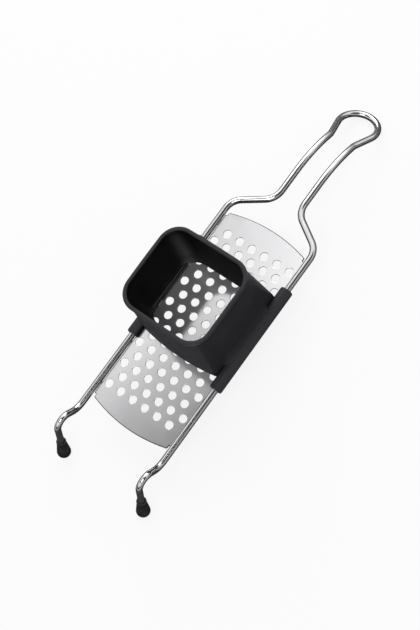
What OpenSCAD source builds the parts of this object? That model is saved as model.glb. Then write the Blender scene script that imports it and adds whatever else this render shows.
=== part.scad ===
// Spaetzle maker: a bent wire frame that hangs on a pot rim, a perforated plate
// welded between its two rails, and a moulded hopper that slides along the rails.
// Millimetres. X is across, +Y runs to the handle, +Z is up.
// The origin lies on the table, under the middle of the whole tool.

/* [Wire frame] */
// Thickness of the round wire
wire_d = 6; // [4:0.5:7]
// Distance between the centre lines of the two rails
rail_gap = 92; // [80:1:110]
// Height of the rails' centre lines above the table
rail_h = 34.8; // [28:0.2:42]
// From the plate's middle forward to the corner where a rail turns up
front_run = 116.2; // [112:0.2:135]
// From the plate's middle back to the corner where a rail turns inward
rear_run = 109.8; // [106:0.2:130]
// Bend radius where a rail turns up into its hook
rise_bend_r = 15.7; // [8:0.1:18]
// Angle of the hook's rising stretch above the rail
rise_angle = 49; // [35:1:60]
// Length of the hook's rising stretch, from corner to corner
rise_len = 29; // [26:0.5:36]
// Bend radius over the hook's crest
crest_r = 9.4; // [6:0.1:10]
// Lean of the hook's leg from the vertical
leg_lean = 18.8; // [8:0.2:25]
// Bend radius where a rail turns inward to the handle
shoulder_r = 16.3; // [8:0.1:20]
// Angle that the wire turns inward at the shoulder
shoulder_angle = 57.8; // [45:0.2:70]
// Bend radius where the shoulder meets the handle
throat_r = 17.4; // [8:0.1:20]
// Distance between the centre lines of the two handle wires
handle_gap = 25; // [20:0.5:30]
// From the plate's middle back to the corner where the handle turns down
fall_start = 186.8; // [180:0.2:210]
// Bend radius where the handle turns down
fall_r = 100; // [60:1:100]
// From that corner down the slope to the far end of the hanging eye
fall_len = 69.1; // [66:0.1:80]
// Bend radius at the neck of the eye
neck_r = 14; // [8:0.5:16]
// From the neck's corner to the middle of the eye
neck_to_eye = 23.5; // [22:0.1:25]
// Radius of the eye, on the wire's centre line
eye_r = 18.3; // [16:0.1:20]

/* [Perforated plate] */
// Thickness of the sheet
sheet_t = 0.8; // [0.5:0.1:1.2]
// Depth of the sheet's upper face below the rails' centre lines
sheet_drop = 1.3; // [0.8:0.1:1.6]
// Space between the sheet's long edge and the wire, which the welds bridge
edge_gap = 0.1; // [0.05:0.05:0.3]
// Length of the sheet's full-width stretch
full_len = 192; // [186:1:198]
// Height of the step where each end of the sheet narrows
end_step = 2; // [1:0.5:3]
// Length of the straight side of each narrowed end
end_side = 3.5; // [2:0.5:5]
// How far each end's curve stands out at its middle
end_crown = 6; // [3:0.5:8]
// Diameter of the holes
hole_d = 7.5; // [5:0.5:8.5]
// Distance between holes in a row
hole_pitch = 13.5; // [12:0.1:14]
// Distance between rows
row_pitch = 11; // [10.5:0.1:11.5]
// Number of rows
rows = 16; // [8:1:16]
// Holes in a row
columns = 6; // [4:1:6]

/* [Welds] */
// Length of one weld bead
bead_len = 7; // [4:1:12]
// Radius of a weld bead
bead_r = 1; // [0.8:0.1:1.3]
// Beads along each rail
bead_count = 5; // [3:1:8]
// From each end of the full-width stretch to the middle of the nearest bead
bead_inset = 8; // [6:0.5:30]

/* [Hopper] */
// Width of the mouth over its lip
mouth_w = 87.9; // [80:0.1:90]
// Length of the mouth over its lip
mouth_l = 81.7; // [70:0.1:84]
// Corner radius of the mouth, over its lip
mouth_r = 19.4; // [12:0.1:24]
// Height of the mouth above the rails' centre lines
mouth_h = 75.3; // [60:0.1:90]
// Height of the lip round the mouth
lip_h = 3; // [2:0.5:5]
// How far the lip stands out from the walls
lip_out = 1.7; // [0.5:0.1:2.5]
// How far the mouth's middle lies in front of the guides' middle
mouth_lean = 2.6; // [0:0.1:4]
// Thickness of the walls
wall_t = 1.7; // [1.4:0.1:2.4]
// Width over the side walls just above the guides
waist_w = 85.6; // [82:0.2:87]
// Height of the waist above the rails' centre lines
waist_h = 12; // [10:0.5:14]
// Length of the skirt at its corners
skirt_l = 85; // [80:0.2:88]
// How far the skirt's front and back edges bow out at their middle
skirt_bow = 3.3; // [0:0.1:5]
// Corner radius of the skirt at its lower edge
skirt_r = 3; // [2:0.5:5]
// Length of the opening over the plate
outlet_l = 66; // [60:0.5:68]
// Corner radius of the opening over the plate
outlet_r = 16; // [8:0.5:18]
// Height of the hollows in the front and back walls
core_h = 50; // [20:1:52]
// Space between the skirt's lower edge and the plate
glide_gap = 0.4; // [0.3:0.1:0.8]
// Length of the guides that ride on the rails
guide_len = 104.8; // [98:0.2:106]
// Thickness of the guides round the rails
guide_t = 2.5; // [2:0.1:3]
// Space between a rail and its guide, all round
guide_play = 0.3; // [0.2:0.05:0.5]
// How far a guide's hook reaches in under its rail, past the middle
hook_reach = 1.1; // [0.6:0.1:1.3]
// From the plate's middle back to the hopper's middle, as it stands here
hopper_at = 15.6; // [-50:0.1:40]

/* [Foot caps] */
// Radius of a cap's round foot
foot_r = 6.25; // [5.5:0.05:7]
// Radius of the small flat that a foot stands on
flat_r = 2; // [1:0.1:3]
// Outer diameter of a cap at its mouth
cap_mouth_d = 8.4; // [8:0.1:10]
// Length of a cap from the middle of its foot to its mouth
cap_len = 18; // [12:0.5:24]
// Space between the wire and the inside of a cap
cap_fit = 0.05; // [0.02:0.01:0.1]
// Space past the end of the wire inside a cap
cap_end_gap = 0.3; // [0.1:0.1:1]

/* [Hidden] */
$fn = 64;
thin = 0.2;
past = 1;
wire_r = wire_d / 2;
// The wire is a hair thinner in its bends, and each bend starts inside its straights
bend_wire_r = wire_r - 0.01;
bend_into = 0.25;
rail_x = rail_gap / 2;
handle_x = handle_gap / 2;

// Hook, in the upright plane of one rail: [along Y, up], from the plate's middle
foot_h = sqrt(foot_r ^ 2 - flat_r ^ 2) - rail_h;
rise_corner = [-front_run, 0];
crest_corner = rise_corner + rise_len * [-cos(rise_angle), sin(rise_angle)];
leg_end = [crest_corner[0] - (crest_corner[1] - foot_h) * tan(leg_lean), foot_h];

// Shoulder and handle, seen from above: [across, along Y]
shoulder_corner = [rail_x, rear_run];
shoulder_setback = shoulder_r * tan(shoulder_angle / 2);
throat_corner = [handle_x, rear_run + (rail_x - handle_x) / tan(shoulder_angle)];

// Eye, in the plane that falls away from fall_start so that the eye rests on the table
fall_angle = asin((rail_h - wire_r) / fall_len);
fall_setback = fall_r * tan(fall_angle / 2);
eye_v = fall_len - eye_r;
neck_v = eye_v - neck_to_eye;
flare = asin(eye_r / norm([handle_x, neck_to_eye])) - atan(handle_x / neck_to_eye);
neck_setback = neck_r * tan(flare / 2);
eye_touch = [eye_r * cos(flare), eye_v - eye_r * sin(flare)];

// The whole tool runs from the feet to the eye, and its middle lies over the origin
front_end = leg_end[0] - foot_r;
back_end = fall_start + fall_len * cos(fall_angle) + wire_r;
plate_y = -(front_end + back_end) / 2;

// Plate
sheet_top = -sheet_drop;
sheet_mid = sheet_top - sheet_t / 2;
sheet_half_w = rail_x - sqrt(wire_r ^ 2 - sheet_top ^ 2) - edge_gap;
end_half_w = sheet_half_w - end_step;
end_corner_y = full_len / 2 + end_side;
bead_pitch = (full_len - 2 * bead_inset) / (bead_count - 1);
end_arc_r = (end_half_w ^ 2 + end_crown ^ 2) / (2 * end_crown);

// Hopper, from the rails' centre lines
guide_bore_r = wire_r + guide_play;
guide_r = guide_bore_r + guide_t;
skirt_bottom = sheet_top + glide_gap;
flare_w = 2 * rail_x + 1.6 * guide_t;
flare_h = 0.86 * guide_r;
skirt_w = rail_gap - 2 * guide_bore_r - guide_t;
top_w = mouth_w - 2 * lip_out;
top_l = mouth_l - 2 * lip_out;
inner_waist_w = waist_w - 2 * wall_t;
inner_mouth = [top_w - 2 * wall_t, top_l - 2 * wall_t];
inner_waist_l = outlet_l + (inner_mouth[1] - outlet_l) * waist_h / mouth_h;

function heading(a, b) = atan2(b[1] - a[1], b[0] - a[0]);
function wrap(t) = t > 180 ? t - 360 : t < -180 ? t + 360 : t;
function turn_at(p, i) = wrap(heading(p[i], p[i + 1]) - heading(p[i - 1], p[i]));
function setback(p, r, i) =
    i == 0 || i == len(p) - 1 ? 0 : r[i] * tan(abs(turn_at(p, i)) / 2);
function toward(angle) = [cos(angle), sin(angle)];

// One bend of the wire, which runs a little way on inside the straights at its ends
module wire_bend(r, angle) {
    into = bend_into / r * 180 / PI;
    rotate(-into) rotate_extrude(angle = angle + 2 * into) translate([r, 0]) circle(r = bend_wire_r);
}

// A wire through corners p in the XY plane, with bend radius r[i] at corner i;
// the straight before the first corner is left out where another run draws it
module wire_run(p, r, first = 0) {
    for (i = [first:len(p) - 2]) {
        h = heading(p[i], p[i + 1]);
        start = p[i] + setback(p, r, i) * toward(h);
        length = norm(p[i + 1] - p[i]) - setback(p, r, i) - setback(p, r, i + 1);
        translate(start) rotate([0, 90, h]) cylinder(d = wire_d, h = length);
    }
    for (i = [1:len(p) - 2]) {
        h = heading(p[i - 1], p[i]);
        turn = turn_at(p, i);
        side = sign(turn);
        centre = p[i] - setback(p, r, i) * toward(h) + r[i] * toward(h + 90 * side);
        translate(centre) rotate(h - 90 * side + min(turn, 0)) wire_bend(r[i], abs(turn));
    }
}

// Turns the XY plane into the upright plane that holds Y and Z
module upright() {
    rotate([90, 0, 90]) children();
}

module wire_frame() {
    color("silver") translate([0, plate_y, rail_h]) {
        for (m = [0, 1]) mirror([m, 0, 0]) {
            translate([rail_x, 0, 0]) upright() wire_run(
                [leg_end, crest_corner, rise_corner, [rear_run - shoulder_setback, 0]],
                [0, crest_r, rise_bend_r, 0]);
            wire_run(
                [[rail_x, 0], shoulder_corner, throat_corner, [handle_x, fall_start - fall_setback]],
                [0, shoulder_r, throat_r, 0], first = 1);
            translate([handle_x, 0, 0]) upright() wire_run(
                [[0, 0], [fall_start, 0], [fall_start, 0] + (neck_v - neck_setback) * toward(-fall_angle)],
                [0, fall_r, 0], first = 1);
            translate([0, fall_start, 0]) rotate([-fall_angle, 0, 0]) wire_run(
                [[handle_x, 0], [handle_x, neck_v], eye_touch],
                [0, neck_r, 0], first = 1);
        }
        translate([0, fall_start, 0]) rotate([-fall_angle, 0, 0]) translate([0, eye_v, 0])
            rotate(-flare) wire_bend(eye_r, 180 + 2 * flare);
    }
}

module plate_outline() {
    square([2 * sheet_half_w, full_len], center = true);
    square([2 * end_half_w, 2 * end_corner_y], center = true);
    for (m = [0, 1]) mirror([0, m]) intersection() {
        translate([0, end_corner_y + end_crown - end_arc_r]) circle(r = end_arc_r, $fn = 256);
        translate([-end_half_w, 0]) square([2 * end_half_w, end_corner_y + end_crown]);
    }
}

// Every second row is shifted by half a pitch, and the two kinds together are centred
module hole_pattern() {
    for (row = [0:rows - 1]) {
        shift = row % 2 == 0 ? -0.25 : 0.25;
        for (i = [0:columns - 1])
            translate([(i - (columns - 1) / 2 + shift) * hole_pitch, (row - (rows - 1) / 2) * row_pitch, 0])
                cylinder(d = hole_d, h = sheet_t + 2 * past, $fn = 32);
    }
}

module perforated_plate() {
    color("gainsboro") translate([0, plate_y, rail_h + sheet_top - sheet_t]) difference() {
        linear_extrude(sheet_t) plate_outline();
        translate([0, 0, -past]) hole_pattern();
    }
}

// Beads in the corner below the sheet's edge, cut to the wire and to the sheet
module plate_welds() {
    bead_z = sheet_top - sheet_t;
    color("darkgray") translate([0, plate_y, rail_h]) for (m = [0, 1]) mirror([m, 0, 0]) difference() {
        for (i = [0:bead_count - 1])
            translate([sheet_half_w, (i - (bead_count - 1) / 2) * bead_pitch, bead_z])
                rotate([90, 0, 0]) cylinder(r = bead_r, h = bead_len, center = true, $fn = 32);
        translate([rail_x, 0, 0]) rotate([90, 0, 0]) cylinder(d = wire_d, h = full_len, center = true);
        translate([0, -full_len / 2, bead_z]) cube([sheet_half_w, full_len, sheet_t]);
        translate([0, -full_len / 2, sheet_mid]) cube([rail_x, full_len, wire_r]);
    }
}

// Outline with rounded corners, whose front and back edges may bow out
function quarter(w, l, r, from) = let(c = [w / 2 - r, l / 2 - r])
    [for (a = [from:11.25:from + 90]) [sign(cos(from + 45)) * c[0], sign(sin(from + 45)) * c[1]] + r * toward(a)];
function edge(w, l, r, bow, side) =
    [for (t = [0.75:-0.25:-0.75]) side * [t * (w / 2 - r), l / 2 + bow * (1 - t * t)]];
function outline(w, l, r, bow) = concat(
    quarter(w, l, r, 0), bow > 0 ? edge(w, l, r, bow, 1) : [], quarter(w, l, r, 90),
    quarter(w, l, r, 180), bow > 0 ? edge(w, l, r, bow, -1) : [], quarter(w, l, r, 270));

module slab(w, l, r, bow, z) {
    translate([0, 0, z]) linear_extrude(thin) polygon(outline(w, l, r, bow));
}

module rounded_block(w, l, r, h) {
    linear_extrude(h) {
        square([w - 2 * r, l], center = true);
        square([w, l - 2 * r], center = true);
        for (sx = [-1, 1]) for (sy = [-1, 1])
            translate([sx * (w / 2 - r), sy * (l / 2 - r)]) circle(r = r);
    }
}

// An outline at the mouth's level, moved forward with the mouth
module top_slab(w, l, r, z) {
    translate([0, -mouth_lean, 0]) slab(w, l, r, 0, z);
}

// The box's outer outline at one height, over the opening's length there
module box_slab(w, inner_l, z) {
    slab(w, inner_l + 2 * wall_t, outlet_r + wall_t, 0, z);
}

// The box with its sides flared over the guides, and the skirt that spans between the guides
module hopper_outside() {
    hull() {
        top_slab(top_w, top_l, mouth_r - lip_out, mouth_h - lip_h);
        box_slab(waist_w, inner_waist_l, waist_h);
    }
    hull() {
        box_slab(waist_w, inner_waist_l, waist_h);
        box_slab(flare_w, outlet_l, flare_h);
        box_slab(flare_w, outlet_l, skirt_bottom);
    }
    hull() {
        top_slab(skirt_w, top_l, mouth_r - lip_out - (top_w - skirt_w) / 2, mouth_h - lip_h);
        slab(skirt_w, skirt_l, skirt_r, skirt_bow, skirt_bottom);
    }
    translate([0, -mouth_lean, mouth_h - lip_h]) rounded_block(mouth_w, mouth_l, mouth_r, lip_h);
    for (sx = [-1, 1]) translate([sx * rail_x, 0, 0]) rotate([90, 0, 0])
        cylinder(r = guide_r, h = guide_len, center = true);
}

module hopper_inside() {
    hull() {
        top_slab(inner_mouth[0], inner_mouth[1], mouth_r - lip_out - wall_t, mouth_h + past);
        slab(inner_waist_w, inner_waist_l, outlet_r, 0, waist_h);
    }
    hull() {
        slab(inner_waist_w, inner_waist_l, outlet_r, 0, waist_h);
        slab(2 * rail_x, outlet_l, outlet_r, 0, guide_bore_r);
        slab(2 * rail_x, outlet_l, outlet_r, 0, skirt_bottom - past / 2);
    }
}

// The hollows between the box and the skirt in the front and the back, open below
module wall_cores() {
    core_w = skirt_w - 2 * wall_t;
    share = core_h / mouth_h;
    lean = mouth_lean * share;
    difference() {
        hull() {
            slab(core_w, skirt_l - 2 * wall_t, skirt_r, skirt_bow, skirt_bottom - past);
            translate([0, -lean, 0])
                slab(core_w, skirt_l + (top_l - skirt_l) * share - 2 * wall_t, outlet_r - 4 * wall_t, 0, core_h);
        }
        hull() {
            box_slab(flare_w, outlet_l, skirt_bottom - 2 * past);
            translate([0, -lean, 0])
                box_slab(waist_w, outlet_l + (inner_mouth[1] - outlet_l) * share, core_h + past);
        }
    }
}

module hopper() {
    color("#232326") translate([0, plate_y + hopper_at, rail_h]) difference() {
        hopper_outside();
        hopper_inside();
        wall_cores();
        for (sx = [-1, 1]) translate([sx * rail_x, 0, 0]) rotate([90, 0, 0])
            cylinder(r = guide_bore_r, h = guide_len + 2 * past, center = true);
        translate([0, 0, skirt_bottom - guide_r])
            cube([2 * (rail_x - hook_reach), guide_len + 2 * past, 2 * guide_r], center = true);
    }
}

module foot_cap(side) {
    color("#1c1c1c") translate([side * rail_x, plate_y + leg_end[0], rail_h + leg_end[1]]) difference() {
        rotate([-leg_lean, 0, 0]) difference() {
            union() {
                sphere(r = foot_r);
                cylinder(r1 = foot_r * cos(8), r2 = cap_mouth_d / 2, h = cap_len);
            }
            translate([0, 0, -cap_end_gap]) cylinder(r = wire_r + cap_fit, h = cap_len + past);
        }
        translate([-foot_r, -foot_r, -2 * foot_r - rail_h - leg_end[1]]) cube(2 * foot_r);
    }
}

wire_frame();
perforated_plate();
plate_welds();
hopper();
foot_cap(-1);  // foot_cap_left
foot_cap(1);  // foot_cap_right
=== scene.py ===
import math

import bmesh
import bpy
from mathutils import Matrix, Vector


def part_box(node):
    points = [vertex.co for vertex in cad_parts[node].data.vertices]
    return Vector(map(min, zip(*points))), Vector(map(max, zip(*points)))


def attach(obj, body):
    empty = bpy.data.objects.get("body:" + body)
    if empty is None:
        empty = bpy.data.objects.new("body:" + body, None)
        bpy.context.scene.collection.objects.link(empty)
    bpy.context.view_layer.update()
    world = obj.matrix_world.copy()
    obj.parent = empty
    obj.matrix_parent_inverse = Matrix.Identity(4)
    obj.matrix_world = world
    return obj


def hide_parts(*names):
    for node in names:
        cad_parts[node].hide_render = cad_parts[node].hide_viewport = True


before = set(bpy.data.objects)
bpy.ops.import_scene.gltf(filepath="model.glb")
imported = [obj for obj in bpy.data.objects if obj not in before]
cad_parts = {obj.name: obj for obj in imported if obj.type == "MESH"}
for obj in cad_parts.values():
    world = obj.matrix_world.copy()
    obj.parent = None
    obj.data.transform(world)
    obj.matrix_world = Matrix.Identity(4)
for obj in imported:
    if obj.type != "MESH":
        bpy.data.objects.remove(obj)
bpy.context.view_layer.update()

scene = bpy.context.scene
MM = 0.001


# ---------------------------------------------------------------- viewpoint
# The camera stands about a metre up, to the right of the hooks, and looks steeply
# down on the tool, turned so that the handle runs to the top right.
camera_data = bpy.data.cameras.new("camera")
camera_data.sensor_fit = "VERTICAL"
camera_data.sensor_height = 24.0
camera_data.lens = 49.33
camera = bpy.data.objects.new("camera", camera_data)
camera.location = (0.43078, -0.17020, 1.04540)
camera.rotation_euler = [math.radians(a) for a in (19.490, 14.332, 37.166)]
scene.collection.objects.link(camera)
scene.camera = camera
scene.view_settings.view_transform = "Standard"


# ------------------------------------------------------------- studio light
# A white sweep in a light tent, with a key lamp at the rear left and a fill lamp
# high at the front right. Metal mirrors the tent, which is dark low down and has four
# soft black flags overhead. They shade the plate and draw the wire's dark lines.
def node_tree(owner):
    owner.use_nodes = True
    tree = owner.node_tree
    tree.nodes.clear()
    return tree


def add_node(tree, kind, **settings):
    node = tree.nodes.new(kind)
    for name, value in settings.items():
        setattr(node, name, value)
    return node


def feed(tree, socket, value):
    """Links a socket to another node's output, or sets it to a plain value."""
    if isinstance(value, bpy.types.NodeSocket):
        tree.links.new(value, socket)
    else:
        socket.default_value = value


def math_node(tree, operation, a, b=0.0, clamp=False):
    node = add_node(tree, "ShaderNodeMath", operation=operation, use_clamp=clamp)
    feed(tree, node.inputs[0], a)
    feed(tree, node.inputs[1], b)
    return node.outputs[0]


def vector_math(tree, operation, a, b=(0.0, 0.0, 0.0)):
    node = add_node(tree, "ShaderNodeVectorMath", operation=operation)
    feed(tree, node.inputs[0], a)
    feed(tree, node.inputs[1], b)
    return node.outputs["Value" if operation in ("DOT_PRODUCT", "LENGTH") else "Vector"]


def xyz(tree, vector):
    """The outputs X, Y and Z of a vector."""
    node = add_node(tree, "ShaderNodeSeparateXYZ")
    tree.links.new(vector, node.inputs[0])
    return node.outputs


def spread(tree, value, low, high, to_low=0.0, to_high=1.0):
    """A soft step from one number to another while the value goes from low to high."""
    node = add_node(tree, "ShaderNodeMapRange", interpolation_type="SMOOTHSTEP")
    feed(tree, node.inputs["Value"], value)
    for label, number in (("From Min", low), ("From Max", high), ("To Min", to_low), ("To Max", to_high)):
        node.inputs[label].default_value = number
    return node.outputs["Result"]


def ramp(tree, factor, stops):
    """A colour ramp. Each stop is a place and a grey level or a colour."""
    node = add_node(tree, "ShaderNodeValToRGB")
    elements = node.color_ramp.elements
    while len(elements) < len(stops):
        elements.new(0.5)
    for element, (place, colour) in zip(elements, stops):
        element.position = place
        element.color = (*colour, 1.0) if isinstance(colour, tuple) else (colour, colour, colour, 1.0)
    tree.links.new(factor, node.inputs["Fac"])
    return node.outputs["Color"]


def mixed(tree, factor, first, second, blend="MIX"):
    """Mixes two colours. The node's colour sockets are 6 and 7, its colour output is 2."""
    node = add_node(tree, "ShaderNodeMix", data_type="RGBA", blend_type=blend)
    feed(tree, node.inputs[0], factor)
    for socket, colour in ((node.inputs[6], first), (node.inputs[7], second)):
        feed(tree, socket, (*colour, 1.0) if isinstance(colour, tuple) else colour)
    return node.outputs[2]


def stretched(tree, vector, scale):
    node = add_node(tree, "ShaderNodeMapping")
    node.inputs["Scale"].default_value = scale
    tree.links.new(vector, node.inputs["Vector"])
    return node.outputs[0]


# Each flag has the direction in which it hangs and the light it lets through, over the
# cosine of the angle from there.
black_flags = [
    ((-0.25, -0.03, 0.97), [(0.9720, 1.0), (0.9810, 0.60), (0.9860, 0.28), (0.9912, 0.0)]),
    ((-0.44, 0.23, 0.87), [(0.9955, 1.0), (0.9982, 0.60), (0.9992, 0.30), (1.0, 0.25)]),
    ((-0.35, -0.34, 0.87), [(0.9450, 1.0), (0.9700, 0.08), (1.0, 0.03)]),
    ((0.42, 0.00, 0.90), [(0.830, 1.0), (0.870, 0.06), (1.0, 0.04)])]
# The tent's light over the sine of the height above the horizon.
tent_heights = [(0.0, 0.04), (0.25, 0.06), (0.42, 0.75), (1.0, 1.0)]
tent_light, backdrop_white = (0.62, 0.62, 0.63), (1.0, 1.0, 1.0)
mirror_boost = 0.25

world = bpy.data.worlds.new("light_tent")
scene.world = world
tree = node_tree(world)
ray = add_node(tree, "ShaderNodeLightPath").outputs
direction = add_node(tree, "ShaderNodeTexCoord").outputs["Generated"]
tent = ramp(tree, xyz(tree, direction)["Z"], tent_heights)
for towards, stops in black_flags:
    nearness = vector_math(tree, "DOT_PRODUCT", direction, Vector(towards).normalized())
    tent = mixed(tree, 1.0, tent, ramp(tree, nearness, stops), blend="MULTIPLY")
seen = math_node(tree, "ADD", ray["Is Camera Ray"], ray["Is Transmission Ray"], clamp=True)
colour = mixed(tree, ray["Is Glossy Ray"], tent_light, tent)
background = add_node(tree, "ShaderNodeBackground")
tree.links.new(mixed(tree, seen, colour, backdrop_white), background.inputs["Color"])
boost = math_node(tree, "MULTIPLY", ray["Is Glossy Ray"], mirror_boost)
tree.links.new(math_node(tree, "ADD", boost, 1.0), background.inputs["Strength"])
tree.links.new(background.outputs[0], add_node(tree, "ShaderNodeOutputWorld").inputs["Surface"])


def disc_lamp(name, place, size, watts):
    """A round area lamp that faces the middle of the tool."""
    data = bpy.data.lights.new(name, "AREA")
    data.shape = "DISK"
    data.size = size
    data.energy = watts
    lamp = bpy.data.objects.new(name, data)
    lamp.location = place
    lamp.rotation_euler = (-Vector(place)).to_track_quat("-Z", "Y").to_euler()
    scene.collection.objects.link(lamp)


disc_lamp("key_light", (-0.80, 0.95, 0.95), 1.3, 10.0)
disc_lamp("fill_light", (0.30, -0.45, 1.45), 0.7, 5.0)


def diffuse(tree, grey):
    node = add_node(tree, "ShaderNodeBsdfDiffuse")
    node.inputs["Color"].default_value = (grey, grey, grey, 1.0)
    return node.outputs[0]


def mixed_shader(tree, factor, first, second):
    node = add_node(tree, "ShaderNodeMixShader")
    for socket, value in zip(node.inputs, (factor, first, second)):
        tree.links.new(value, socket)
    return node.outputs[0]


# The sweep glows white where it is seen, and keeps a share of the tool's shadow. In
# metal it is white too, but for a soft oval of shade close round the tool.
sweep_grey, shade_grey, glow_share = 0.86, 0.06, 0.84
shade_near, shade_far, shade_oval = 0.10, 0.45, (1.0, 0.45, 0.0)
sweep_half = 3.0

sweep_paper = bpy.data.materials.new("white_sweep")
tree = node_tree(sweep_paper)
ray = add_node(tree, "ShaderNodeLightPath").outputs
coords = add_node(tree, "ShaderNodeTexCoord").outputs["Object"]
away = vector_math(tree, "LENGTH", stretched(tree, coords, shade_oval))
mirrored = math_node(tree, "MULTIPLY", ray["Is Glossy Ray"], spread(tree, away, shade_near, shade_far))
seen = math_node(tree, "ADD", ray["Is Camera Ray"], ray["Is Transmission Ray"])
glowing = math_node(tree, "MULTIPLY", math_node(tree, "ADD", seen, mirrored), glow_share)
glow = add_node(tree, "ShaderNodeEmission")
glow.inputs["Strength"].default_value = 1.0
surface = mixed_shader(tree, glowing, diffuse(tree, sweep_grey), glow.outputs[0])
in_shade = math_node(tree, "SUBTRACT", ray["Is Glossy Ray"], mirrored)
surface = mixed_shader(tree, in_shade, surface, diffuse(tree, shade_grey))
tree.links.new(surface, add_node(tree, "ShaderNodeOutputMaterial").inputs["Surface"])

sweep_mesh = bpy.data.meshes.new("sweep")
sweep_corners = [(x * sweep_half, y * sweep_half, 0.0) for x, y in ((-1, -1), (1, -1), (1, 1), (-1, 1))]
sweep_mesh.from_pydata(sweep_corners, [], [(0, 1, 2, 3)])
sweep_mesh.materials.append(sweep_paper)
sweep = bpy.data.objects.new("sweep", sweep_mesh)
scene.collection.objects.link(sweep)


# --------------------------------------------------------------- wire frame
# One length of polished stainless wire, cold bent on a jig: up over the pot rim
# at the front, along both edges of the plate, inward to the handle and round
# the hanging eye. Its two ends are inside the foot caps.
wire_r = 3.0 * MM
rail_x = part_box("wire_frame")[1][0] - wire_r
plate_low, plate_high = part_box("perforated_plate")
plate_y = (plate_low[1] + plate_high[1]) / 2
sheet_drop = 1.3 * MM
rail_z = plate_high[2] + sheet_drop
# The runs go from the plate's middle to the corners of the next bends. From fall_start
# the handle slopes down, until the eye rests on the table.
front_run, rear_run = 116.2 * MM, 109.8 * MM
rise_angle, rise_len = math.radians(49.0), 29.0 * MM
leg_lean = math.radians(18.8)
foot_r, flat_r = 6.25 * MM, 2.0 * MM
shoulder_angle = math.radians(57.8)
handle_x = 12.5 * MM
fall_start, fall_len = 186.8 * MM, 69.1 * MM
eye_r, neck_to_eye = 18.3 * MM, 23.5 * MM
crest_r, rise_bend_r = 9.4 * MM, 15.7 * MM
shoulder_r, throat_r = 16.3 * MM, 17.4 * MM
fall_r, neck_r = 100.0 * MM, 14.0 * MM
wire_sides, eye_steps = 32, 64

foot_z = math.sqrt(foot_r ** 2 - flat_r ** 2)
rise_corner = Vector((rail_x, plate_y - front_run, rail_z))
crest_corner = rise_corner + rise_len * Vector((0, -math.cos(rise_angle), math.sin(rise_angle)))
leg_dir = Vector((0, math.sin(leg_lean), math.cos(leg_lean)))
leg_end = crest_corner - leg_dir * ((crest_corner.z - foot_z) / leg_dir.z)
shoulder_corner = Vector((rail_x, plate_y + rear_run, rail_z))
throat_y = plate_y + rear_run + (rail_x - handle_x) / math.tan(shoulder_angle)
throat_corner = Vector((handle_x, throat_y, rail_z))
fall_corner = Vector((handle_x, plate_y + fall_start, rail_z))
fall_angle = math.asin((rail_z - wire_r) / fall_len)
slope = Vector((0, math.cos(fall_angle), -math.sin(fall_angle)))
eye_centre = Vector((0, plate_y + fall_start, rail_z)) + (fall_len - eye_r) * slope
flare = math.asin(eye_r / math.hypot(handle_x, neck_to_eye)) - math.atan(handle_x / neck_to_eye)
neck_corner = Vector((handle_x, 0, 0)) + eye_centre - neck_to_eye * slope


def on_eye(angle):
    """A point of the eye, in the plane that falls away from the handle."""
    return eye_centre + eye_r * (math.cos(angle) * Vector((1, 0, 0)) + math.sin(angle) * slope)


def rounded_route(corners, radii, step=math.radians(4.0)):
    """Points along straight stretches joined by arcs of the given radii."""
    route = [corners[0]]
    for before, corner, after, radius in zip(corners, corners[1:], corners[2:], radii):
        come = (corner - before).normalized()
        leave = (after - corner).normalized()
        turn = come.angle(leave)
        start = corner - come * radius * math.tan(turn / 2)
        inward = (leave - come * come.dot(leave)).normalized()
        steps = max(3, math.ceil(turn / step))
        for i in range(steps + 1):
            a = turn * i / steps
            route.append(start + radius * (math.sin(a) * come + (1 - math.cos(a)) * inward))
    route.append(corners[-1])
    return route


right_half = rounded_route(
    [leg_end, crest_corner, rise_corner, shoulder_corner, throat_corner, fall_corner, neck_corner,
     on_eye(-flare)],
    [crest_r, rise_bend_r, shoulder_r, throat_r, fall_r, neck_r])
eye_turn = math.pi + 2 * flare
eye_arc = [on_eye(eye_turn * i / eye_steps - flare) for i in range(1, eye_steps)]
left_half = [Vector((-p.x, p.y, p.z)) for p in reversed(right_half)]
wire_route = right_half + eye_arc + left_half


def poly_curve(name, points, closed=False):
    curve = bpy.data.curves.new(name, "CURVE")
    curve.dimensions = "3D"
    spline = curve.splines.new("POLY")
    spline.points.add(len(points) - 1)
    for target, point in zip(spline.points, points):
        target.co = (*point, 1.0)
    spline.use_cyclic_u = closed
    return bpy.data.objects.new(name, curve)


def geometry_tree(name, sockets):
    """A Geometry Nodes tree, the sockets of its named inputs, and its output node."""
    tree = bpy.data.node_groups.new(name, "GeometryNodeTree")
    tree.interface.new_socket("Geometry", in_out="INPUT", socket_type="NodeSocketGeometry")
    for label, kind in sockets:
        tree.interface.new_socket(label, in_out="INPUT", socket_type="NodeSocket" + kind)
    tree.interface.new_socket("Geometry", in_out="OUTPUT", socket_type="NodeSocketGeometry")
    return tree, add_node(tree, "NodeGroupInput").outputs, add_node(tree, "NodeGroupOutput")


def finished(tree, geometry, given, output):
    """Ends a tree with Realize Instances and Set Material."""
    realize = add_node(tree, "GeometryNodeRealizeInstances")
    material = add_node(tree, "GeometryNodeSetMaterial")
    tree.links.new(geometry, realize.inputs[0])
    tree.links.new(realize.outputs[0], material.inputs["Geometry"])
    tree.links.new(given["Material"], material.inputs["Material"])
    tree.links.new(material.outputs[0], output.inputs[0])


def placed(name, mesh):
    piece = bpy.data.objects.new(name, mesh)
    scene.collection.objects.link(piece)
    return piece


def made_of(mesh, material):
    """Gives a mesh its one material."""
    mesh.materials.clear()
    mesh.materials.append(material)
    for polygon in mesh.polygons:
        polygon.material_index = 0


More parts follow.
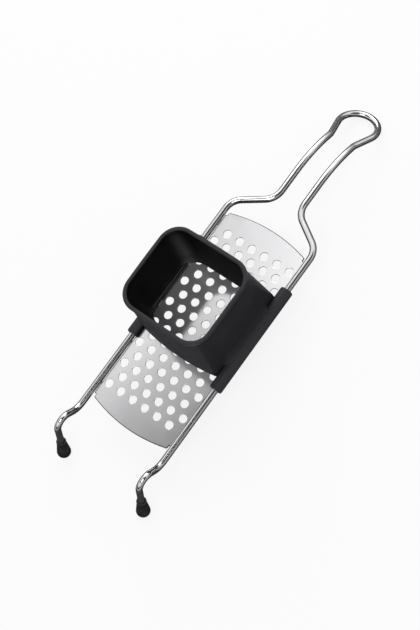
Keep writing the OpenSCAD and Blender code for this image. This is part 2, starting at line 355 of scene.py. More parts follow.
def grown(name, carrier, tree, values):
    """Runs a tree on an object and returns the result as a plain mesh object."""
    scene.collection.objects.link(carrier)
    modifier = carrier.modifiers.new("grow", "NODES")
    modifier.node_group = tree
    for item in tree.interface.items_tree:
        if item.in_out == "INPUT" and item.name in values:
            modifier[item.identifier] = values[item.name]
    bpy.context.view_layer.update()
    evaluated = carrier.evaluated_get(bpy.context.evaluated_depsgraph_get())
    mesh = bpy.data.meshes.new_from_object(evaluated)
    mesh.name = name
    made_of(mesh, values["Material"])
    carrier.modifiers.remove(modifier)
    bpy.data.objects.remove(carrier)
    return placed(name, mesh)


def closed_mesh(mesh, merge=0.001 * MM):
    """Merges doubles and points all faces outward."""
    work = bmesh.new()
    work.from_mesh(mesh)
    bmesh.ops.remove_doubles(work, verts=work.verts, dist=merge)
    bmesh.ops.recalc_face_normals(work, faces=work.faces)
    work.to_mesh(mesh)
    work.free()


def smooth(mesh, sharp_over=40.0):
    for polygon in mesh.polygons:
        polygon.use_smooth = True
    mesh.set_sharp_from_angle(angle=math.radians(sharp_over))


def shader_group(name, inputs, outputs):
    """A shader node group, the sockets of its named inputs, and its output node."""
    group = bpy.data.node_groups.new(name, "ShaderNodeTree")
    for label, value in inputs:
        socket = group.interface.new_socket(label, in_out="INPUT", socket_type="NodeSocketFloat")
        socket.default_value = value
    for label in outputs:
        group.interface.new_socket(label, in_out="OUTPUT", socket_type="NodeSocketFloat")
    return group, add_node(group, "NodeGroupInput").outputs, add_node(group, "NodeGroupOutput")


def noise(tree, vector, scale, detail=3.0, roughness=0.5):
    node = add_node(tree, "ShaderNodeTexNoise")
    node.inputs["Detail"].default_value = detail
    node.inputs["Roughness"].default_value = roughness
    feed(tree, node.inputs["Scale"], scale)
    tree.links.new(vector, node.inputs["Vector"])
    return node.outputs["Fac"]


# Handling marks: soft smudges, and fine scratches that lie in two directions.
handling, given, output = shader_group(
    "handling_marks", [("Smudge size", 40.0), ("Scratch length", 6.0)], ["Smudge", "Scratches"])
coords = add_node(handling, "ShaderNodeTexCoord").outputs["Object"]
smudge = noise(handling, coords, given["Smudge size"], 4.0, 0.55)
handling.links.new(spread(handling, smudge, 0.42, 0.68), output.inputs["Smudge"])
along_y = noise(handling, stretched(handling, coords, (900.0, 60.0, 60.0)), given["Scratch length"], 2.0)
along_x = noise(handling, stretched(handling, coords, (160.0, 1100.0, 60.0)), given["Scratch length"], 2.0)
crossing = math_node(handling, "MAXIMUM", spread(handling, along_y, 0.66, 0.74),
                     spread(handling, along_x, 0.67, 0.75))
handling.links.new(crossing, output.inputs["Scratches"])


def new_material(name):
    """A material with a Principled shader, and its tree and coordinates."""
    material = bpy.data.materials.new(name)
    tree = node_tree(material)
    shader = add_node(tree, "ShaderNodeBsdfPrincipled")
    tree.links.new(shader.outputs[0], add_node(tree, "ShaderNodeOutputMaterial").inputs["Surface"])
    coords = add_node(tree, "ShaderNodeTexCoord").outputs["Object"]
    return material, tree, shader, coords


def marked(tree, smudge_size, scratch_length):
    """Places the handling marks in a material."""
    node = add_node(tree, "ShaderNodeGroup")
    node.node_tree = handling
    node.inputs["Smudge size"].default_value = smudge_size
    node.inputs["Scratch length"].default_value = scratch_length
    return node.outputs


def plus(tree, value, extra, share):
    """A value with a share of another added."""
    return math_node(tree, "ADD", value, math_node(tree, "MULTIPLY", extra, share))


def bump(tree, shader, height, strength, distance):
    node = add_node(tree, "ShaderNodeBump")
    node.inputs["Strength"].default_value = strength
    node.inputs["Distance"].default_value = distance
    tree.links.new(height, node.inputs["Height"])
    tree.links.new(node.outputs[0], shader.inputs["Normal"])


def from_middle(tree, value, middle=0.0):
    """How far a coordinate lies from a middle, to either side."""
    return math_node(tree, "ABSOLUTE", math_node(tree, "SUBTRACT", value, middle))


# Bright drawn wire. Its inner side, where it meets the sheet, is darkened with painted contact shade and weld
# scale.
bright_wire, smudged_wire, seam_shade_and_scale = (0.70, 0.70, 0.705), (0.62, 0.62, 0.625), (0.30, 0.29, 0.28)
seam_x, seam_soft = 43.4 * MM, 0.8 * MM
seam_end, seam_fade = 94.0 * MM, 4.0 * MM

wire_steel, tree, shader, coords = new_material("polished_wire")
shader.inputs["Metallic"].default_value = 1.0
marks = marked(tree, smudge_size=55.0, scratch_length=5.0)
tone = mixed(tree, marks["Smudge"], bright_wire, smudged_wire)
place = xyz(tree, coords)
along = from_middle(tree, place["Y"], plate_y)
beside_sheet = spread(tree, along, seam_end, seam_end + seam_fade, 1.0, 0.0)
inner_side = spread(tree, from_middle(tree, place["X"]), seam_x, seam_x + seam_soft, 1.0, 0.0)
# Where the painted contact shade and weld scale lie: the inner side, along the sheet.
seam_shaded = math_node(tree, "MULTIPLY", inner_side, beside_sheet)
tree.links.new(mixed(tree, seam_shaded, tone, seam_shade_and_scale), shader.inputs["Base Color"])
rough = spread(tree, marks["Smudge"], 0.0, 1.0, 0.13, 0.18)
tree.links.new(plus(tree, rough, marks["Scratches"], 0.10), shader.inputs["Roughness"])
draw_lines = noise(tree, stretched(tree, coords, (1800.0, 30.0, 1800.0)), 1.0, 2.0)
bump(tree, shader, draw_lines, 0.12, 0.02 * MM)

wire_tree, given, output = geometry_tree(
    "bend_wire", [("Wire radius", "Float"), ("Sides", "Int"), ("Material", "Material")])
profile = add_node(wire_tree, "GeometryNodeCurvePrimitiveCircle")
wire_tree.links.new(given["Sides"], profile.inputs["Resolution"])
wire_tree.links.new(given["Wire radius"], profile.inputs["Radius"])
drawn = add_node(wire_tree, "GeometryNodeCurveToMesh")
drawn.inputs["Fill Caps"].default_value = True
wire_tree.links.new(given["Geometry"], drawn.inputs["Curve"])
wire_tree.links.new(profile.outputs["Curve"], drawn.inputs["Profile Curve"])
finished(wire_tree, drawn.outputs[0], given, output)

wire = grown("bent_wire", poly_curve("wire_route", wire_route), wire_tree,
             {"Wire radius": wire_r, "Sides": wire_sides, "Material": wire_steel})
closed_mesh(wire.data)
smooth(wire.data)
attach(wire, "frame")
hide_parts("wire_frame")


# --------------------------------------------------------- perforated plate
# Stainless sheet, blanked to its outline and punched in one stroke, which draws
# the holes' upper edges in a little. The outline's upper edge is broken. The ends
# are bowed, and stepped in clear of the bends of the wire.
sheet_t = plate_high[2] - plate_low[2]
sheet_half_w = plate_high[0]
end_half_w = sheet_half_w - 2.0 * MM
full_half_len = 96.0 * MM
step_slope = 0.8 * MM
end_corner_y = full_half_len + 3.5 * MM
end_crown = plate_high[1] - plate_y - end_corner_y
corner_in, corner_up, corner_down = 0.6 * MM, 0.3 * MM, 1.0 * MM
hole_r = 3.75 * MM
hole_pitch, row_pitch = 13.5 * MM, 11.0 * MM
rows, columns = 16, 6
roll_in, roll_steps = 0.30 * MM, 4
edge_break = 0.7 * MM
hole_sides, end_steps = 40, 12

end_arc_r = (end_half_w ** 2 + end_crown ** 2) / (2 * end_crown)
quarter_outline = [
    (sheet_half_w, 0.0), (sheet_half_w, full_half_len), (end_half_w, full_half_len + step_slope),
    (end_half_w, end_corner_y - corner_down), (end_half_w - corner_in, end_corner_y + corner_up)]
for i in range(1, end_steps + 1):
    x = (end_half_w - 2 * corner_in) * (1 - i / end_steps)
    quarter_outline.append((x, end_corner_y + end_crown - end_arc_r + math.sqrt(end_arc_r ** 2 - x ** 2)))
outline = quarter_outline[1:]
outline += [(-x, y) for x, y in reversed(quarter_outline[1:-1])]
outline += [(-x, -y) for x, y in outline]


def quarter_turn(steps):
    """Angles from nought to a right angle, in equal steps."""
    return [math.pi / 2 * i / steps for i in range(steps + 1)]


def circle_points(radius, height, sides):
    turns = [2 * math.pi * i / sides for i in range(sides)]
    return [Vector((radius * math.cos(a), radius * math.sin(a), height)) for a in turns]


def band(work, first, second):
    """Faces between two loops of vertices. A loop of one vertex is a pole."""
    steps = max(len(first), len(second))
    for i in range(steps):
        j = (i + 1) % steps
        corners = [first[i % len(first)], first[j % len(first)],
                   second[j % len(second)], second[i % len(second)]]
        work.faces.new(list(dict.fromkeys(corners)))


def made_mesh(work, name):
    mesh = bpy.data.meshes.new(name)
    work.to_mesh(mesh)
    work.free()
    return mesh


wall_profile = [(hole_r + roll_in * (1 - math.sin(a)), -roll_in * (1 - math.cos(a)))
                for a in quarter_turn(roll_steps)] + [(hole_r, -sheet_t)]
work = bmesh.new()
wall_loops = [[work.verts.new(p) for p in circle_points(radius, z, hole_sides)] for radius, z in wall_profile]
for upper, lower in zip(wall_loops, wall_loops[1:]):
    band(work, upper, lower)
hole_wall = bpy.data.objects.new("hole_wall", made_mesh(work, "hole_wall"))

punch, given, output = geometry_tree("punch_sheet", [
    ("Hole wall", "Object"), ("Upper radius", "Float"), ("Lower radius", "Float"), ("Sides", "Int"),
    ("Hole pitch", "Float"), ("Row pitch", "Float"), ("Rows", "Int"), ("Columns", "Int"),
    ("Thickness", "Float"), ("Material", "Material")])


def vector_of(tree, x=0.0, y=0.0, z=0.0):
    node = add_node(tree, "ShaderNodeCombineXYZ")
    for socket, value in zip(node.inputs, (x, y, z)):
        feed(tree, socket, value)
    return node.outputs[0]


def transformed(tree, geometry, **changes):
    node = add_node(tree, "GeometryNodeTransform")
    tree.links.new(geometry, node.inputs["Geometry"])
    for label, vector in changes.items():
        tree.links.new(vector, node.inputs[label])
    return node.outputs[0]


def joined(tree, *shapes):
    node = add_node(tree, "GeometryNodeJoinGeometry")
    for shape in shapes:
        tree.links.new(shape, node.inputs[0])
    return node.outputs[0]


def at_points(tree, points, shape, scale=(1.0, 1.0, 1.0)):
    """A copy of a shape at each point, made real."""
    node = add_node(tree, "GeometryNodeInstanceOnPoints")
    tree.links.new(points, node.inputs["Points"])
    tree.links.new(shape, node.inputs["Instance"])
    feed(tree, node.inputs["Scale"], scale)
    realize = add_node(tree, "GeometryNodeRealizeInstances")
    tree.links.new(node.outputs[0], realize.inputs[0])
    return realize.outputs[0]


def hole_rows(side):
    """Every second row of holes, shifted by a quarter pitch to one side."""
    gaps_across = math_node(punch, "SUBTRACT", given["Columns"], 1)
    gaps_along = math_node(punch, "SUBTRACT", given["Rows"], 2)
    grid = add_node(punch, "GeometryNodeMeshGrid")
    feed(punch, grid.inputs["Size X"], math_node(punch, "MULTIPLY", gaps_across, given["Hole pitch"]))
    feed(punch, grid.inputs["Size Y"], math_node(punch, "MULTIPLY", gaps_along, given["Row pitch"]))
    feed(punch, grid.inputs["Vertices X"], given["Columns"])
    feed(punch, grid.inputs["Vertices Y"], math_node(punch, "DIVIDE", given["Rows"], 2))
    shift = vector_of(punch, math_node(punch, "MULTIPLY", given["Hole pitch"], side / 4),
                      math_node(punch, "MULTIPLY", given["Row pitch"], side / 2))
    return transformed(punch, grid.outputs["Mesh"], Translation=shift)


hole_places = joined(punch, hole_rows(-1), hole_rows(1))


def skin(radius):
    """The sheet's face at one level, with holes of the given radius."""
    circle = add_node(punch, "GeometryNodeCurvePrimitiveCircle")
    punch.links.new(given["Sides"], circle.inputs["Resolution"])
    punch.links.new(radius, circle.inputs["Radius"])
    fill = add_node(punch, "GeometryNodeFillCurve")
    hole_lines = at_points(punch, hole_places, circle.outputs["Curve"])
    punch.links.new(joined(punch, given["Geometry"], hole_lines), fill.inputs["Curve"])
    return fill.outputs[0]


down = vector_of(punch, z=math_node(punch, "MULTIPLY", given["Thickness"], -1))
edge_line = add_node(punch, "GeometryNodeCurveToMesh")
punch.links.new(given["Geometry"], edge_line.inputs["Curve"])
edge_band = add_node(punch, "GeometryNodeExtrudeMesh", mode="EDGES")
punch.links.new(edge_line.outputs[0], edge_band.inputs["Mesh"])
punch.links.new(down, edge_band.inputs["Offset"])
wall = add_node(punch, "GeometryNodeObjectInfo")
punch.links.new(given["Hole wall"], wall.inputs["Object"])
lower_skin = transformed(punch, skin(given["Lower radius"]), Translation=down)
finished(punch, joined(punch, skin(given["Upper radius"]), lower_skin, edge_band.outputs[0],
                       at_points(punch, hole_places, wall.outputs["Geometry"])), given, output)

# The grain runs along the plate. The broken edges at its ends are painted dark, a painted reflection of the
# dark studio.
grain_dark, grain_light, scratch_light = (0.84, 0.84, 0.85), (0.90, 0.90, 0.91), (0.92, 0.92, 0.92)
painted_end_edge_dark = (0.10, 0.10, 0.10)
cut_from, cut_fade = full_half_len - 4 * MM, 2 * MM

sheet_steel, tree, shader, coords = new_material("satin_sheet")
shader.inputs["Metallic"].default_value = 0.71
marks = marked(tree, smudge_size=30.0, scratch_length=4.0)
grain = noise(tree, stretched(tree, coords, (2600.0, 22.0, 2600.0)), 1.0, 3.0, 0.6)
cloud = noise(tree, coords, 14.0, 3.0)
tone = mixed(tree, spread(tree, grain, 0.3, 0.7), grain_dark, grain_light)
tone = mixed(tree, math_node(tree, "MULTIPLY", marks["Scratches"], 0.35), tone, scratch_light)
facing = xyz(tree, add_node(tree, "ShaderNodeNewGeometry").outputs["Normal"])
on_edge = spread(tree, math_node(tree, "ABSOLUTE", facing["Z"]), 0.80, 0.95, 1.0, 0.0)
along = from_middle(tree, xyz(tree, coords)["Y"], plate_y)
at_end = spread(tree, along, cut_from, cut_from + cut_fade)
# The end edges get a painted dark line, a painted reflection of the studio's dark.
end_edge = math_node(tree, "MULTIPLY", on_edge, at_end)
tree.links.new(mixed(tree, end_edge, tone, painted_end_edge_dark), shader.inputs["Base Color"])
rough = plus(tree, spread(tree, cloud, 0.35, 0.65, 0.08, 0.11), marks["Smudge"], 0.03)
tree.links.new(plus(tree, rough, grain, 0.03), shader.inputs["Roughness"])
bump(tree, shader, grain, 0.10, 0.02 * MM)

sheet_outline = poly_curve("sheet_outline", [(x, y, 0.0) for x, y in outline], closed=True)
sheet = grown("punched_sheet", sheet_outline, punch, {
    "Hole wall": hole_wall, "Upper radius": hole_r + roll_in, "Lower radius": hole_r, "Sides": hole_sides,
    "Hole pitch": hole_pitch, "Row pitch": row_pitch, "Rows": rows, "Columns": columns,
    "Thickness": sheet_t, "Material": sheet_steel})
bpy.data.objects.remove(hole_wall)
sheet.data.transform(Matrix.Translation((0, plate_y, plate_high[2])))
closed_mesh(sheet.data, merge=0.01 * MM)
work = bmesh.new()
work.from_mesh(sheet.data)
# The height of a face's normal tells an upright wall from the level skin.
upright, level = 0.01, 0.99
upper_edges = []
for edge in work.edges:
    tilts = sorted(face.normal.z for face in edge.link_faces)
    if len(tilts) == 2 and abs(tilts[0]) < upright and tilts[1] > level:
        upper_edges.append(edge)
bmesh.ops.bevel(work, geom=upper_edges, offset=edge_break, segments=1, affect="EDGES")
work.to_mesh(sheet.data)
work.free()
# The walls of the holes are shaded smooth, and the skins and the outline flat.
pattern_x, pattern_y = sheet_half_w - 1 * MM, full_half_len - 5 * MM
quite_level = 0.999
for polygon in sheet.data.polygons:
    off_centre = polygon.center - Vector((0, plate_y, 0))
    in_pattern = abs(off_centre.x) < pattern_x and abs(off_centre.y) < pattern_y
    polygon.use_smooth = in_pattern and abs(polygon.normal.z) < quite_level
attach(sheet, "frame")
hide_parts("perforated_plate")


# -------------------------------------------------------------- weld beads
# The sheet's long edges are welded to the rails from below: five short beads a
# side, each a small uneven run of weld metal in the corner of sheet and wire.
bead_low, bead_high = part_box("plate_welds")
bead_len, bead_r, bead_count = 7.0 * MM, 1.0 * MM, 5
bead_pitch = (bead_high[1] - bead_low[1] - bead_len) / (bead_count - 1)
least_bead, bead_seed = 0.85, 4
straw, weld_grey, blue = (0.42, 0.36, 0.30), (0.58, 0.56, 0.54), (0.36, 0.38, 0.46)

weld_metal, tree, shader, coords = new_material("weld_metal")
shader.inputs["Metallic"].default_value = 1.0
tint = noise(tree, coords, 260.0, 3.0)
heat_colours = ramp(tree, tint, [(0.30, straw), (0.52, weld_grey), (0.72, blue)])
tree.links.new(heat_colours, shader.inputs["Base Color"])
tree.links.new(spread(tree, tint, 0.3, 0.7, 0.32, 0.50), shader.inputs["Roughness"])
bump(tree, shader, noise(tree, coords, 1400.0, 3.0), 0.5, 0.10 * MM)

bead_tree, given, output = geometry_tree("lay_beads", [
    ("Bead length", "Float"), ("Bead radius", "Float"), ("Least size", "Float"), ("Pitch", "Float"),
    ("Count", "Int"), ("Seed", "Int"), ("Material", "Material")])
ball = add_node(bead_tree, "GeometryNodeMeshUVSphere")
ball.inputs["Segments"].default_value = 20
ball.inputs["Rings"].default_value = 12
ball.inputs["Radius"].default_value = 1.0
half_bead = math_node(bead_tree, "MULTIPLY", given["Bead length"], 0.5)
bead_size = vector_of(bead_tree, given["Bead radius"], half_bead, given["Bead radius"])
bead = transformed(bead_tree, ball.outputs["Mesh"], Scale=bead_size)
line = add_node(bead_tree, "GeometryNodeMeshLine")
bead_tree.links.new(given["Count"], line.inputs["Count"])
bead_tree.links.new(vector_of(bead_tree, y=given["Pitch"]), line.inputs["Offset"])
bead_places = at_points(bead_tree, given["Geometry"], line.outputs[0])
# Of the random node's sockets, 2 and 3 are the float's limits, and output 1 is the float.
uneven = add_node(bead_tree, "FunctionNodeRandomValue", data_type="FLOAT")
bead_tree.links.new(given["Least size"], uneven.inputs[2])
uneven.inputs[3].default_value = 1.0
bead_tree.links.new(given["Seed"], uneven.inputs["Seed"])
finished(bead_tree, at_points(bead_tree, bead_places, bead, uneven.outputs[1]), given, output)

bead_starts = bpy.data.meshes.new("bead_starts")
bead_start_y = bead_low[1] + bead_len / 2
bead_starts.from_pydata([(side * sheet_half_w, bead_start_y, plate_low[2]) for side in (-1, 1)], [], [])
weld_beads = grown("weld_beads", bpy.data.objects.new("bead_starts", bead_starts), bead_tree, {
    "Bead length": bead_len, "Bead radius": bead_r, "Least size": least_bead, "Pitch": bead_pitch,
    "Count": bead_count, "Seed": bead_seed, "Material": weld_metal})
smooth(weld_beads.data)
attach(weld_beads, "frame")
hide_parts("plate_welds")


# ------------------------------------------------------------------ hopper
# One injection moulding in satin black plastic. A square box with a rolled lip
# widens over the rails at its foot; a skirt stands in front of it and behind it,
# hollow from below; two guides clip round the rails and carry it.
hopper_low, hopper_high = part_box("hopper")
hopper_y = (hopper_low[1] + hopper_high[1]) / 2
guide_r, guide_bore_r = rail_z - hopper_low[2], wire_r + 0.3 * MM
guide_half_len = (hopper_high[1] - hopper_low[1]) / 2
guide_round, bore_round, hook_reach = 1.6 * MM, 0.1 * MM, 1.1 * MM
mouth_half, mouth_h = Vector((43.9, 40.8)) * MM, hopper_high[2] - rail_z
mouth_r, mouth_lean, wall_t = 19.3 * MM, 2.6 * MM, 1.7 * MM
lip_out, lip_h, lip_round, lip_under = 1.7 * MM, 3.0 * MM, 1.2 * MM, 0.5 * MM
waist_half_w, waist_h = 42.8 * MM, 13.0 * MM
flare_half_w, flare_h, flare_top, flare_power = 48.2 * MM, 4.8 * MM, 17.0 * MM, 2.4
skirt_half_w, skirt_half_l = rail_x - guide_r + 0.6 * MM, 42.5 * MM
skirt_bow, skirt_r, skirt_fillet = 3.3 * MM, 3.0 * MM, 1.6 * MM
skirt_bottom = -sheet_drop + 0.4 * MM
outlet_half_l, outlet_r = 33.0 * MM, 16.0 * MM
core_h, core_corner = 50.0 * MM, 9.0 * MM
top_half = mouth_half - Vector((lip_out, lip_out))
lip_z = mouth_h - lip_h


def reach(angle, half_w, half_l, r, bow=0.0):
    """How far a rounded rectangle's outline lies from its middle, in one direction."""
    dx, dy = abs(math.cos(angle)), abs(math.sin(angle))
    side = half_w / dx if dx > 1e-9 else math.inf
    if side * dy <= half_l - r:
        return side
    end = half_l / dy
    for _ in range(4 if bow else 1):
        across = min(end * dx / (half_w - r), 1.0)
        end = (half_l + bow * (1 - across ** 2)) / dy
    if end * dx <= half_w - r:
        return end
    cx, cy = half_w - r, half_l - r
    along = dx * cx + dy * cy
    return along + math.sqrt(max(0.0, along ** 2 - cx ** 2 - cy ** 2 + r ** 2))


def blended(a, b, width):
    """The larger of two lengths, with a fillet where they are nearly equal."""
    h = max(width - abs(a - b), 0.0) / width
    return max(a, b) + h * h * width / 4


def limited(t):
    return min(max(t, 0.0), 1.0)


def between(a, b, t):
    return a + (b - a) * limited(t)


# The bearings at which each ring has its points lie closer together round the corners.
ring_steps, box_proportion, crowding = 256, 0.93, 0.065
bearings = []
for i in range(ring_steps):
    a = 2 * math.pi * i / ring_steps
    bearings.append(math.atan2(box_proportion * math.sin(a), math.cos(a)) - crowding * math.sin(4 * a))


def ring_at(z, radius_of):
    lean = mouth_lean * limited(z / mouth_h)
    return [Vector((radius_of(a) * math.cos(a), radius_of(a) * math.sin(a) - lean, z)) for a in bearings]


def loft(rings, name):
    """A closed mesh through rings of equal length, from bottom to top."""
    work = bmesh.new()
    loops = [[work.verts.new(p) for p in ring] for ring in rings]
    for lower, upper in zip(loops, loops[1:]):
        band(work, lower, upper)
    work.faces.new(list(reversed(loops[0])))
    work.faces.new(loops[-1])
    return made_mesh(work, name)


def outer_reach(z, out=0.0, skirt=True):
    """The outline of the box, or of box and skirt together, at one height."""
    t = z / lip_z
    flare_t = limited((z - flare_h) / (flare_top - flare_h))
    box_w = between(waist_half_w, top_half.x, (z - waist_h) / (lip_z - waist_h))
    box_w += (flare_half_w - waist_half_w) * (1 - flare_t) ** flare_power
    box_l = between(outlet_half_l + wall_t, top_half.y, t)
    box_r = between(outlet_r + wall_t, mouth_r - lip_out, t)
    skirt_l = between(skirt_half_l, top_half.y, t)
    skirt_corner = between(skirt_r, mouth_r - lip_out - (top_half.x - skirt_half_w), t)
    bow = skirt_bow * (1 - limited(t))

    def radius(a):
        box = reach(a, box_w, box_l, box_r)
        if not skirt:
            return box
        return blended(box, reach(a, skirt_half_w, skirt_l, skirt_corner, bow), skirt_fillet) + out
    return radius


def inner_reach(z, out=0.0):
    """The outline of the hollow inside the box at one height."""
    t = z / mouth_h
    flare_t = limited((z - guide_bore_r) / (waist_h - guide_bore_r))
    half_w = between(waist_half_w, top_half.x, (z - waist_h) / (mouth_h - waist_h)) - wall_t
    half_w += (rail_x - waist_half_w + wall_t) * (1 - flare_t)
    half_l = between(outlet_half_l, top_half.y - wall_t, t)
    corner = between(outlet_r, mouth_r - lip_out - wall_t, t)
    return lambda a: reach(a, half_w, half_l, corner) + out


flare_step, wall_start, wall_steps = 1.2 * MM, waist_h + 6.0 * MM, 10
lip_steps, rim_steps = 4, 7
flare_zs = [flare_h + i * flare_step for i in range(-2, 11)]
wall_zs = [wall_start + i * (lip_z - wall_start) / wall_steps for i in range(wall_steps + 1)]
outer_rings = [ring_at(z, outer_reach(z)) for z in [skirt_bottom] + flare_zs + wall_zs]
for a in quarter_turn(lip_steps)[1:]:
    outer_rings.append(ring_at(lip_z + lip_under * (1 - math.cos(a)),
                               outer_reach(lip_z, lip_out - lip_under * (1 - math.sin(a)))))
for a in quarter_turn(rim_steps):
    outer_rings.append(ring_at(mouth_h - lip_round * (1 - math.sin(a)),
                               outer_reach(lip_z, lip_out - lip_round * (1 - math.cos(a)))))
outer_mesh = loft(outer_rings, "hopper_outside")

# The hollow's rounding ends just above the lip, and its last ring well above, so that
# the cut leaves no skin over the mouth.
cut_above, cut_past, cut_below = 0.02 * MM, 2.0 * MM, 1.0 * MM
foot_steps, side_steps, mouth_steps = 5, 8, 6
low_zs = [skirt_bottom - cut_below, 0.0, guide_bore_r]
foot_zs = [between(guide_bore_r, waist_h, i / foot_steps) for i in range(1, foot_steps + 1)]
side_zs = [between(waist_h, mouth_h - lip_round, i / side_steps) for i in range(1, side_steps + 1)]
inner_rings = [ring_at(z, inner_reach(z)) for z in low_zs + foot_zs + side_zs]
for a in quarter_turn(mouth_steps)[1:-1]:
    inner_rings.append(ring_at(mouth_h - lip_round * (1 - math.sin(a)),
                               inner_reach(mouth_h, lip_round * (1 - math.cos(a)))))
for z in (mouth_h + cut_above, mouth_h + cut_past):
    inner_rings.append(ring_at(z, inner_reach(mouth_h, lip_round)))
hollow_mesh = loft(inner_rings, "hopper_hollow")


def rod(x, radius, half_len, rounding, sides, name):
    """A bar along Y about a rail, with rounded ends."""
    profile = [(-half_len + rounding * (1 - math.cos(a)), radius - rounding * (1 - math.sin(a)))
               for a in quarter_turn(4)]
    profile += [(-y, r) for y, r in reversed(profile)]
    rings = []
    for y, r in profile:
        rings.append([Vector((x + p.x, y, -p.y)) for p in circle_points(r, 0.0, sides)])
    return loft(rings, name)


def block(low, high, name):
    work = bmesh.new()
    bmesh.ops.create_cube(work, size=1.0)
    for vert in work.verts:
        vert.co = Vector(between(low[k], high[k], vert.co[k] + 0.5) for k in range(3))
    return made_mesh(work, name)


def core_mesh(side):
    """The hollow between the box and the skirt, in front or behind, open below."""
    half_w = skirt_half_w - wall_t
    half_steps, halvings = 16, 24
    off_box, least_depth = 0.05 * MM, 0.15 * MM
    steps = [math.sin(math.pi / 2 * i / half_steps) for i in range(-half_steps, half_steps + 1)]
    rings = []
    for z in (skirt_bottom - cut_below, core_h / 3, core_h * 2 / 3, core_h):
        t = max(z, 0.0) / lip_z
        lean = mouth_lean * max(z, 0.0) / mouth_h
        box = outer_reach(max(z, skirt_bottom), skirt=False)
        far_l = between(skirt_half_l, top_half.y, t) - wall_t
        far = []
        for x in steps:
            rounding = (1 - math.sqrt(1 - x ** 8)) * core_corner * t
            far.append((x * half_w, far_l + skirt_bow * (1 - t) * (1 - x * x) - rounding))
        near = []
        for x, y in far:
            low, high = 0.0, y
            for _ in range(halvings):
                middle = (low + high) / 2
                if math.hypot(x, middle) < box(math.atan2(middle, x)) + off_box:
                    low = middle
                else:
                    high = middle
            near.append((x, min(high, y - least_depth)))
        rings.append([Vector((x, side * y - lean, z)) for x, y in near + far[::-1]])
    return loft(rings, "skirt_core")


def cut_or_joined(target, meshes, operation):
    for mesh in meshes:
        closed_mesh(mesh)
        tool = placed("boolean_tool", mesh)
        modifier = target.modifiers.new("boolean", "BOOLEAN")
        modifier.operation = operation
        modifier.solver = "EXACT"
        modifier.object = tool
        bpy.context.view_layer.update()
        result = bpy.data.meshes.new_from_object(target.evaluated_get(bpy.context.evaluated_depsgraph_get()))
        target.modifiers.remove(modifier)
        target.data = result
        bpy.data.objects.remove(tool)


closed_mesh(outer_mesh)
hopper = placed("hopper_shell", outer_mesh)
guides = [rod(s * rail_x, guide_r, guide_half_len, guide_round, 64, "guide") for s in (-1, 1)]
cut_or_joined(hopper, guides, "UNION")
cut_or_joined(hopper, [hollow_mesh], "DIFFERENCE")
cut_or_joined(hopper, [core_mesh(s) for s in (-1, 1)], "DIFFERENCE")
bore_half_len = guide_half_len + 2.0 * MM
bores = [rod(s * rail_x, guide_bore_r, bore_half_len, bore_round, 48, "bore") for s in (-1, 1)]
cut_or_joined(hopper, bores, "DIFFERENCE")
under_w = rail_x - hook_reach
under = block((-under_w, -bore_half_len, -2 * guide_r), (under_w, bore_half_len, skirt_bottom), "under")
cut_or_joined(hopper, [under], "DIFFERENCE")
hopper.data.transform(Matrix.Translation((0, hopper_y, rail_z)))
closed_mesh(hopper.data)
smooth(hopper.data, sharp_over=32.0)

# Satin outside, with a painted highlight on the lip and along the guides, where wear also
# makes it smoother, and painted shade on the inside, which is where a face looks towards the hopper's middle
# line.
satin_black, smudged_black = (0.0215, 0.0215, 0.0250), (0.0265, 0.0265, 0.0305)
painted_highlight_black, scratched_black = (0.046, 0.046, 0.049), (0.06, 0.06, 0.062)
inner_shade_black = (0.0024, 0.0024, 0.0028)
inner_shade_from, inner_shade_to = 2.0 * MM, 12.0 * MM

black_plastic, tree, shader, coords = new_material("satin_black_plastic")
shader.inputs["IOR"].default_value = 1.45
shader.inputs["Specular IOR Level"].default_value = 0.12
marks = marked(tree, smudge_size=26.0, scratch_length=3.0)
inward = vector_math(tree, "SUBTRACT", (0.0, hopper_y, 0.0), coords)
normal = add_node(tree, "ShaderNodeNewGeometry").outputs["Normal"]
inner_shade = spread(tree, vector_math(tree, "DOT_PRODUCT", normal, inward), inner_shade_from, inner_shade_to)
place = xyz(tree, coords)
at_lip = spread(tree, place["Z"], hopper_high[2] - 4.0 * MM, hopper_high[2] - 2.5 * MM)
over_rail = spread(tree, from_middle(tree, place["X"]), rail_x - 4.5 * MM, rail_x - 3.0 * MM)
low_down = spread(tree, place["Z"], rail_z + 5.0 * MM, rail_z + 9.0 * MM, 1.0, 0.0)
wear_and_highlight = math_node(tree, "ADD", at_lip, math_node(tree, "MULTIPLY", over_rail, low_down), clamp=True)
tone = mixed(tree, marks["Smudge"], satin_black, smudged_black)
# Painted highlight on the lip and along the guides. The same mask lowers the roughness there for wear.
tone = mixed(tree, math_node(tree, "MULTIPLY", wear_and_highlight, 0.6), tone, painted_highlight_black)
# Painted shade on the inside faces of the hopper.
tone = mixed(tree, inner_shade, tone, inner_shade_black)
tone = mixed(tree, math_node(tree, "MULTIPLY", marks["Scratches"], 0.25), tone, scratched_black)
tree.links.new(tone, shader.inputs["Base Color"])
flow = noise(tree, stretched(tree, coords, (30.0, 30.0, 9.0)), 1.0, 3.0)
rough = plus(tree, spread(tree, flow, 0.35, 0.65, 0.50, 0.60), marks["Smudge"], 0.05)
tree.links.new(plus(tree, rough, wear_and_highlight, -0.20), shader.inputs["Roughness"])
texture = plus(tree, noise(tree, coords, 45.0, 2.0), noise(tree, coords, 3200.0, 2.0), 0.12)
bump(tree, shader, texture, 0.25, 0.12 * MM)
made_of(hopper.data, black_plastic)
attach(hopper, "slider")
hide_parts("hopper")


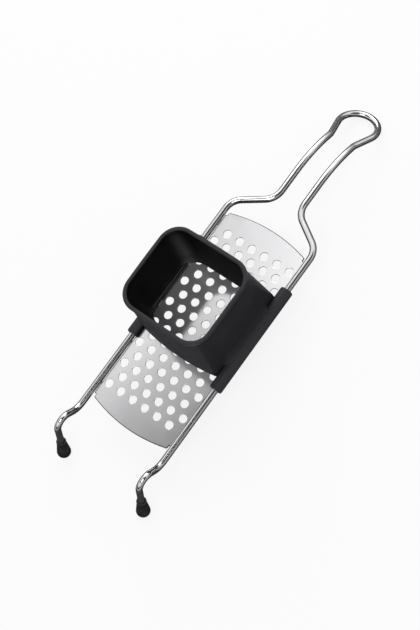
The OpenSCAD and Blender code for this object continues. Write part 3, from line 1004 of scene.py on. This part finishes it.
# --------------------------------------------------------------- foot caps
# Soft black rubber caps, dip moulded and pushed onto the ends of the wire: a
# round foot with a small worn flat, a tapered sleeve and a turned bead at its mouth.
cap_len, cap_mouth_r, cap_bore_r = 18.0 * MM, 4.2 * MM, wire_r + 0.05 * MM
bore_end, bore_lead = -0.3 * MM, 0.3 * MM
cap_bead_out, cap_bead_h, cap_bead_in, cap_bead_drop = 0.25 * MM, 1.2 * MM, 0.3 * MM, 0.2 * MM
cap_mouth_flat = 0.35 * MM
cap_sides, ball_steps, sleeve_steps, cap_bead_steps = 48, 16, 8, 8
rubber_black, dusty_black = (0.012, 0.012, 0.012), (0.030, 0.030, 0.029)

rubber, tree, shader, coords = new_material("black_rubber")
marks = marked(tree, smudge_size=90.0, scratch_length=4.0)
tree.links.new(mixed(tree, marks["Smudge"], rubber_black, dusty_black), shader.inputs["Base Color"])
tree.links.new(spread(tree, marks["Smudge"], 0.0, 1.0, 0.48, 0.66), shader.inputs["Roughness"])
bump(tree, shader, noise(tree, coords, 900.0, 4.0, 0.6), 0.35, 0.08 * MM)

# The profile runs from the bottom of the foot up the outside, over the bead and down
# the bore, as radius and height about the end of the wire.
tangent = math.asin((foot_r - cap_mouth_r) / cap_len)
ball_angles = [-math.pi / 2 + (math.pi / 2 + tangent) * i / ball_steps for i in range(ball_steps + 1)]
cap_profile = [(foot_r * math.cos(a), foot_r * math.sin(a)) for a in ball_angles]
taper_start, taper_end = cap_profile[-1], (cap_mouth_r, cap_len - 2 * cap_bead_h)
for i in range(1, sleeve_steps + 1):
    t = i / sleeve_steps
    cap_profile.append((between(taper_start[0], taper_end[0], t), between(taper_start[1], taper_end[1], t)))
cap_bead_z = cap_len - cap_bead_h / 2 - cap_bead_drop
for i in range(cap_bead_steps):
    a = -math.pi / 2 + math.pi * i / cap_bead_steps
    cap_profile.append((cap_mouth_r + cap_bead_out * max(math.cos(a), 0.0),
                        cap_bead_z + cap_bead_h / 2 * math.sin(a)))
cap_profile += [(cap_mouth_r - cap_bead_in, cap_bead_z + cap_bead_h / 2),
                (cap_bore_r + cap_mouth_flat, cap_len), (cap_bore_r, cap_len - bore_lead),
                (cap_bore_r, bore_end), (0.0, bore_end)]

for side, node in ((-1, "foot_cap_left"), (1, "foot_cap_right")):
    work = bmesh.new()
    loops = []
    for radius, height in cap_profile:
        sides = cap_sides if radius > 0.001 * MM else 1
        loops.append([work.verts.new(p) for p in circle_points(radius, height, sides)])
    for lower, upper in zip(loops, loops[1:]):
        band(work, lower, upper)
    on_leg = Matrix.Translation((side * rail_x, leg_end.y, leg_end.z)) @ Matrix.Rotation(-leg_lean, 4, "X")
    bmesh.ops.transform(work, matrix=on_leg, verts=work.verts)
    for vert in work.verts:
        vert.co.z = max(vert.co.z, 0.0)
    bmesh.ops.recalc_face_normals(work, faces=work.faces)
    cap_mesh = made_mesh(work, node + "_rubber")
    smooth(cap_mesh, sharp_over=50.0)
    made_of(cap_mesh, rubber)
    cap = placed(node + "_rubber", cap_mesh)
    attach(cap, "frame")
    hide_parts(node)
